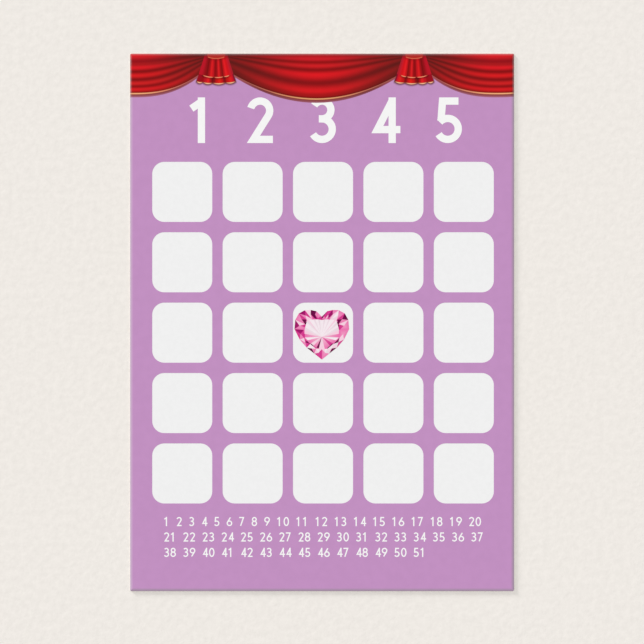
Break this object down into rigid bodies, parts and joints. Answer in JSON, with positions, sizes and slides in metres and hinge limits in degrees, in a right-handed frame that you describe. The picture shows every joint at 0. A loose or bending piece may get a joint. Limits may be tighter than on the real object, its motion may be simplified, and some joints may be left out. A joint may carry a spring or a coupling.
{
  "type": "bingo card",
  "caption": "Flat bingo card of pasted board with a printed grid of rounded white squares on lavender, a red swag along its top edge and a faceted heart in its free centre square.",
  "frame": {"origin": "middle of the back face, on the surface that the card lies on", "axes": "+X to the right of the printed face, +Y to the card's top edge where the swags hang, +Z out of the printed face"},
  "size_m": [0.127, 0.1778, 0.0006],
  "materials": {
    "paper": "matte",
    "pulp": "matte",
    "lavender": "satin",
    "red": "satin",
    "maroon": "satin",
    "gold": "satin",
    "blush": "satin",
    "pink": "satin",
    "magenta": "satin"
  },
  "bodies": {
    "root": {"back_liner": "paper", "core_board": "pulp", "front_liner": "paper", "lavender_ink": "lavender", "left_swag_red_ink": "red", "left_swag_maroon_ink": "maroon", "left_swag_gold_ink": "gold", "middle_swag_red_ink": "red", "middle_swag_maroon_ink": "maroon", "middle_swag_gold_ink": "gold", "right_swag_red_ink": "red", "right_swag_maroon_ink": "maroon", "right_swag_gold_ink": "gold", "left_tail_red_ink": "red", "left_tail_maroon_ink": "maroon", "left_tail_gold_ink": "gold", "right_tail_red_ink": "red", "right_tail_maroon_ink": "maroon", "right_tail_gold_ink": "gold", "heart_blush_ink": "blush", "heart_pink_ink": "pink", "heart_magenta_ink": "magenta"}
  },
  "joints": []
}
